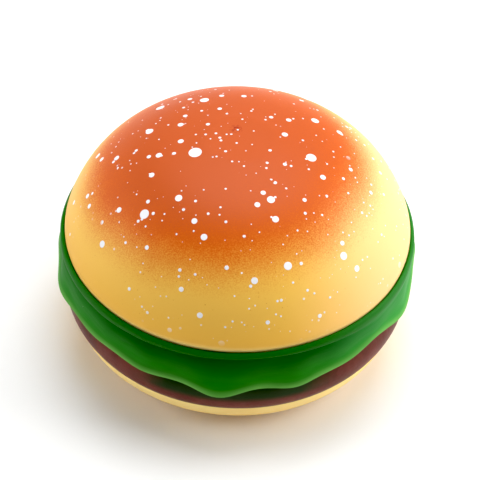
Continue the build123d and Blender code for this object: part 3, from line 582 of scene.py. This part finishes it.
# Each fold of the leaf: where its middle is (degrees round from the front, + to the right),
# how far it stands out and how far it hangs down, in mm, and its half width in degrees.
LEAF_FOLDS = (
    (-4, 2.5, 1.9, 8),
    (19, 1.1, 1.1, 7),
    (-28, 0.7, 0.7, 8),
    (-50, 0.2, 0.5, 7),
    (50, -0.4, -1.7, 9),
    (67, 0.8, 1.2, 8),
    (-72, 1.4, 0.9, 9),
    (99, 2.0, 0.7, 8),
    (125, 1.2, 1.0, 9),
    (153, 0.9, 0.6, 8),
    (-98, 1.7, 0.4, 10),
    (-117, 0.9, 0.8, 8),
    (-136, 1.3, 1.0, 9),
    (-161, 0.9, 0.6, 7),
)
# The leaf's section from the bun's edge down over the lip and back in under it: radius and
# height in mm, and how much of the folds each point takes.
LEAF_SECTION = (
    (50.6, 35.2, 0.0),
    (50.6, 38.15, 0.0),
    (50.9, 38.2, 0.0),
    (54.9, 38.2, 0.0),
    (54.95, 38.35, 0.0),
    (54.98, 38.9, 0.0),
    (55.1, 39.4, 0.0),
    (55.6, 39.65, 0.0),
    (56.05, 39.5, 0.0),
    (56.4, 39.05, 0.03),
    (56.6, 38.3, 0.04),
    (56.55, 37.4, 0.05),
    (56.2, 36.5, 0.05),
    (55.6, 35.8, 0.05),
    (55.15, 35.3, 0.05),
    (55.1, 34.9, 0.08),
    (55.4, 34.5, 0.12),
    (55.8, 33.8, 0.18),
    (56.1, 32.6, 0.28),
    (56.25, 31.2, 0.40),
    (56.35, 29.8, 0.56),
    (56.45, 28.5, 0.74),
    (56.7, 27.5, 0.88),
    (57.15, 26.7, 0.97),
    (57.4, 26.2, 1.00),
    (57.35, 25.85, 1.00),
    (57.05, 25.6, 1.00),
    (56.6, 25.4, 0.95),
    (56.1, 25.2, 0.80),
    (55.6, 24.9, 0.50),
    (55.1, 24.6, 0.20),
    (54.75, 24.4, 0.0),
    (54.75, 26.0, 0.0),
    (51.5, 26.1, 0.0),
    (51.4, 30.8, 0.0),
    (47.3, 30.85, 0.0),
    (47.3, 32.75, 0.0),
    (50.5, 32.78, 0.0),
    (50.6, 35.2, 0.0),
)


def fold_at(degrees_round):
    """How far the lip stands out and hangs down at one place round the ring, in mm."""
    out = drop = 0.0
    for middle_at, size, fall, half_width in LEAF_FOLDS:
        away = (degrees_round - middle_at + 180) % 360 - 180
        share = math.exp(-((away / half_width) ** 2))
        out += size * share
        drop += fall * share
    return out, drop


def groove_rise(degrees_round):
    """How far the groove under the leaf's upper roll climbs at one place, in mm."""
    near_front = 1.2 * math.exp(-((degrees_round / 34) ** 2))
    turn = math.radians(degrees_round)
    return near_front + 0.35 * math.sin(3 * turn + 0.8) + 0.25 * math.sin(5 * turn)


def groove_share(degrees_round):
    """1 where the groove is at its full depth, falling off past both flanks of the front."""
    past = max((degrees_round - 30) / 22, (-62 - degrees_round) / 18, 0.0)
    return max(0.12, 1 - past)


def roll_rise(degrees_round):
    """How far the top of the leaf's upper roll stands above its mean, in mm."""
    dip = 0.75 * math.exp(-(((degrees_round + 2) / 25) ** 2))
    return 0.15 - dip + 0.12 * math.sin(math.radians(4 * degrees_round))


# Radii and heights on the leaf, in mm.
INNER_WALL, LEAF_FOOT = 55.05, 25.0  # inside the one and below the other it stays round
GROOVE_FOOT, GROOVE_TOP, GROOVE_MOUTH = 31.0, 38.0, 56.4
GROOVE_MIDDLE, GROOVE_HALF = 35.0, 3.6
ROLL_FOOT, ROLL_HEIGHT = 37.0, 2.2
RIPPLE, RIPPLES_ROUND = 0.16, 23  # a fine wave between the groove and the lip
# where the painted highlight along the lip's edge lies and its half width, and the radius
# outside which it shows
LIP_EDGE, LIP_EDGE_HALF, LIP_OUTSIDE = 26.2, 0.95, 55.9  # before the lip is folded

# Blocks cut out of the back of the leaf: the middle and the size of each, in mm.  The hinge
# stands in the notch, the roll ends where the lid swings, and the lead passes the slot.
LEAF_CUTS = {
    "notch": ((0, 61.2, 37.4), (35.2, 28.0, 10.0)),
    "lip_gap": ((0, 57.2, 43.2), (80.0, 60.0, 10.0)),
    "lead_slot": ((14.6, 52.2, 32.8), (2.6, 20.0, 5.2)),
}


def fold_leaf(leaf):
    """Gives the plain ring its folds, its ripple, its groove and its roll."""
    shares = {(round(r, 2), round(z, 2)): share for r, z, share in LEAF_SECTION}
    for vertex in leaf.data.vertices:
        x, y, z = (part / MM for part in vertex.co)
        r = math.hypot(x, y)
        if r < INNER_WALL or z < LEAF_FOOT:
            continue
        share = shares[(round(r, 2), round(z, 2))]
        degrees_round = math.degrees(math.atan2(x, -y))
        out, drop = fold_at(degrees_round)
        wave = math.sin(math.radians(RIPPLES_ROUND * degrees_round))
        out = out * share + RIPPLE * wave * share * (1 - share) * 4
        if GROOVE_FOOT < z < GROOVE_TOP:
            out += max(0.0, GROOVE_MOUTH - r) * (1 - groove_share(degrees_round))
        near_groove = max(0.0, 1 - abs(z - GROOVE_MIDDLE) / GROOVE_HALF)
        up_roll = min(max((z - ROLL_FOOT) / ROLL_HEIGHT, 0.0), 1.0)
        rise = groove_rise(degrees_round) * near_groove + roll_rise(degrees_round) * up_roll
        stretch = (1 + out / r) * MM
        vertex.co = (x * stretch, y * stretch, (z - drop * share**2 + rise) * MM)


def cut_leaf(leaf):
    for name, (place, size) in LEAF_CUTS.items():
        place, size = [MM * part for part in place], [MM * part for part in size]
        clear_selection()
        bpy.ops.mesh.primitive_cube_add(size=1, location=place, scale=size)
        block = bpy.context.view_layer.objects.active
        clear_selection()
        bpy.context.view_layer.objects.active = leaf
        leaf.select_set(True)
        knife = leaf.modifiers.new(name, "BOOLEAN")
        knife.object = block
        knife.solver = "EXACT"
        bpy.ops.object.modifier_apply(modifier=name)
        bpy.data.objects.remove(block)


def mark_rim(leaf):
    """Writes how near each point is to the lip's edge, for the painted highlight there."""
    painted_light_rim = leaf.data.attributes.new("painted_light_rim", "FLOAT", "POINT")
    for vertex, painted_highlight in zip(leaf.data.vertices, painted_light_rim.data):
        x, y, z = (part / MM for part in vertex.co)
        _, drop = fold_at(math.degrees(math.atan2(x, -y)))
        away = z - (LIP_EDGE - drop)
        outside = math.hypot(x, y) > LIP_OUTSIDE
        painted_highlight.value = math.exp(-((away / LIP_EDGE_HALF) ** 2)) if outside else 0.0


def lettuce_leaf():
    leaf = turned([(r * MM, z * MM) for r, z, _ in LEAF_SECTION], 320)
    fold_leaf(leaf)
    cut_leaf(leaf)
    mark_rim(leaf)
    leaf = settle("lettuce_leaf", "base", "lettuce_green", 40.0)
    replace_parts(leaf, "lettuce_ring")


lettuce_leaf()


# ---- keys and rubber mat ----------------------------------------------------------------

# The printed sign of each large key and the height of its letters, in mm.  A star is drawn
# small in its letter, so it is set larger.
LEGENDS = {
    **{str(n): (str(n), 7.0) for n in range(10)},
    "star": ("*", 9.5),
    "hash": ("#", 7.0),
}
# The raised signs of the small keys: each part's middle, from the middle of the key, and its
# width and depth, in mm.  A part of equal sides is round.
SIGNS = {
    "flash": ((0, 0, 4.0, 1.0),),
    "redial": ((-1.5, 0, 1.1, 1.1), (0, 0, 1.1, 1.1), (1.5, 0, 1.1, 1.1)),
    "mute": ((-0.9, 0, 0.9, 2.8), (0.9, 0, 0.9, 2.8)),
}
SIGN_THICK = 0.3 * MM
SIGN_SUNK = 0.05 * MM
SIGN_ROUNDING = 0.1 * MM

MAT_TOP = 29.6  # mm
DOME_FOOT = MAT_TOP + 0.02
# Half the section of one hollow rubber dome, from the middle of its top round to the middle
# of its roof inside: radius and height in mm.
DOME_SECTION = (
    (0.0, 31.5),
    (2.2, 31.5),
    (2.6, 31.3),
    (3.0, 30.6),
    (3.7, 29.9),
    (4.3, DOME_FOOT),
    (3.7, DOME_FOOT),
    (3.1, 30.1),
    (2.5, 30.7),
    (0.0, 30.8),
)


def mat_sheet():
    """The flat of the mat: rounded corners and a small round along every edge."""
    low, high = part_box("dome_mat")
    top = MAT_TOP * MM
    middle = ((low.x + high.x) / 2, (low.y + high.y) / 2, (low.z + top) / 2)
    size = (high.x - low.x, high.y - low.y, top - low.z)
    clear_selection()
    bpy.ops.mesh.primitive_cube_add(size=1, location=middle, scale=size)
    bpy.ops.object.transform_apply(location=False, rotation=False, scale=True)
    sheet = bpy.context.view_layer.objects.active
    corners = sheet.modifiers.new("corners", "BEVEL")
    corners.width = 3 * MM
    corners.segments = 8
    corners.limit_method = "WEIGHT"
    weights = sheet.data.attributes.new("bevel_weight_edge", "FLOAT", "EDGE")
    for edge, weight in zip(sheet.data.edges, weights.data):
        start, end = (sheet.data.vertices[n].co for n in edge.vertices)
        upright = abs(start.z - end.z) > 0.5 * size[2]
        weight.value = 1.0 if upright else 0.0
    bpy.ops.object.modifier_apply(modifier=corners.name)
    edges = sheet.modifiers.new("edges", "BEVEL")
    edges.width = 0.2 * MM
    edges.segments = 2
    bpy.ops.object.modifier_apply(modifier=edges.name)
    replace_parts(settle("rubber_mat", "base", "mat_rubber"), "dome_mat")


def mat_dome(name):
    """The dome under one key, with a mesh of its own; the real dome flattens as its key goes
    down.
    """
    x, y, _ = key_top(name)
    dome = turned([(r * MM, z * MM) for r, z in DOME_SECTION], 32)
    dome.location = (x, y, 0)
    dome = settle(f"rubber_dome_{name}", "base", "mat_rubber", 50.0)
    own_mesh(dome)


def key_legend(name, sign, letter_height):
    """Printed sign, standing a hair above the middle of its key."""
    x, y, top = key_top(name)
    clear_selection()
    bpy.ops.object.text_add(location=(0, 0, 0))
    label = bpy.context.view_layer.objects.active
    label.data.body = sign
    label.data.align_x = "CENTER"
    label.data.size = letter_height * MM
    label.data.extrude = 0.03 * MM
    label.data.resolution_u = 4
    bpy.ops.object.convert(target="MESH")
    label = bpy.context.view_layer.objects.active
    xs = [vertex.co.x for vertex in label.data.vertices]
    ys = [vertex.co.y for vertex in label.data.vertices]
    off_x, off_y = (min(xs) + max(xs)) / 2, (min(ys) + max(ys)) / 2
    label.location = (x - off_x, y - off_y, top + 0.01 * MM)
    settle(f"legend_{name}", f"key_{name}", "black_plastic", finish="legend_ink")


def raised_sign(name, parts):
    """Plain raised marks, moulded on top of a small key."""
    x, y, top = key_top(name)
    for number, (across, along, width, depth) in enumerate(parts):
        place = (x + across * MM, y + along * MM, top + SIGN_THICK / 2 - SIGN_SUNK)
        clear_selection()
        if width == depth:
            bpy.ops.mesh.primitive_cylinder_add(
                vertices=32, radius=width / 2 * MM, depth=SIGN_THICK, location=place
            )
        else:
            size = (width * MM, depth * MM, SIGN_THICK)
            bpy.ops.mesh.primitive_cube_add(size=1, location=place, scale=size)
        bpy.ops.object.transform_apply(location=False, rotation=False, scale=True)
        bpy.ops.object.mode_set(mode="EDIT")
        bpy.ops.mesh.select_all(action="SELECT")
        bpy.ops.mesh.bevel(offset=SIGN_ROUNDING, segments=3, affect="EDGES")
        bpy.ops.object.mode_set(mode="OBJECT")
        settle(f"sign_{name}_{number}", f"key_{name}", "key_white")


mat_sheet()
for key_name in (*LEGENDS, *SIGNS):
    mat_dome(key_name)
for key_name, (sign, letter_height) in LEGENDS.items():
    key_legend(key_name, sign, letter_height)
for key_name, parts in SIGNS.items():
    raised_sign(key_name, parts)


# ---- floor ------------------------------------------------------------------------------

GLOW_FROM, GLOW_FULL = 0.30, 1.10  # how far out along the floor, in metres
FLOOR_RADIUS = 6  # metres


def floor():
    """Plain pale floor that glows a little far out, where the lamps reach it less."""
    paint = Paint("studio_floor")
    soft = paint.noise(6.0, 2.0)
    colour = paint.mix(soft, tint(243, 243, 242), tint(247, 247, 247))
    paint.bump(paint.noise(900.0, 2.0), 0.02 * MM)
    far = (paint.x * paint.x + paint.y * paint.y) ** 0.5
    glow = paint.mix(far.ramp(GLOW_FROM, GLOW_FULL), tint(0, 0, 0), tint(236, 237, 238))
    finishes["studio_floor"] = paint.finish(
        Base_Color=colour, Roughness=0.75, Emission_Color=glow, Emission_Strength=1.0
    )
    clear_selection()
    bpy.ops.mesh.primitive_circle_add(
        vertices=96, radius=FLOOR_RADIUS, fill_type="NGON", location=(0, 0, 0)
    )
    ground = bpy.context.view_layer.objects.active
    ground.name = "studio_floor"
    ground.data.materials.append(finishes["studio_floor"])


floor()
